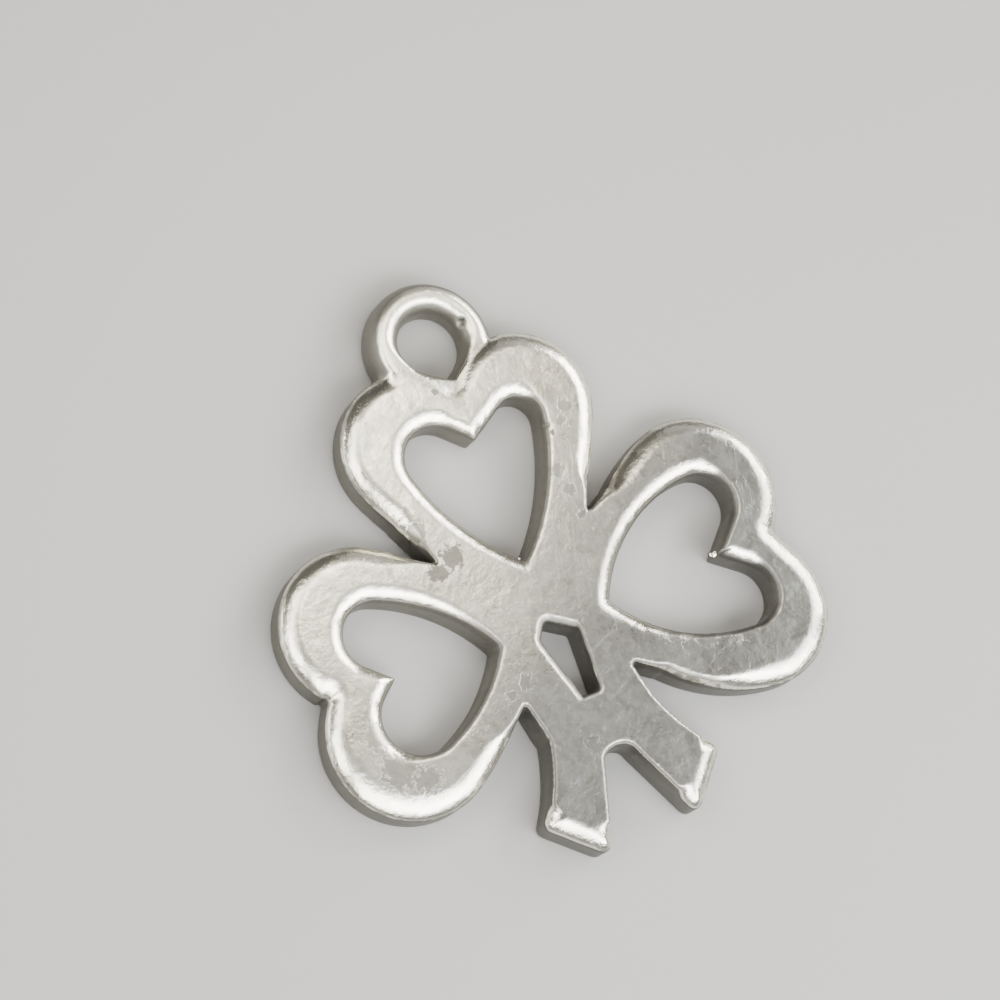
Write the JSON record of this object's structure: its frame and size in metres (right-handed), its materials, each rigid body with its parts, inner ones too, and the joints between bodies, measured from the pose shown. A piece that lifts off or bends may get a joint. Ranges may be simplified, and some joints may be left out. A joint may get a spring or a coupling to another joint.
{
  "type": "clover charm",
  "caption": "Cast silver clover charm lying on its flat back: pierced heart leaves, a kite slot in the hub, a forked stem with flared tails and a cast-on hanging ring.",
  "frame": {"origin": "on the resting surface, under the middle of the charm's box", "axes": "+X across the charm to the right leaf, +Y up the charm to the hanging ring, +Z from the flat back up through the rounded front"},
  "size_m": [0.0182, 0.0198, 0.0014],
  "materials": {
    "silver": "worn cast sterling silver, satin, polished on its edges and dulled with tarnish in its hollows"
  },
  "bodies": {
    "root": {"charm": "silver"}
  },
  "joints": []
}
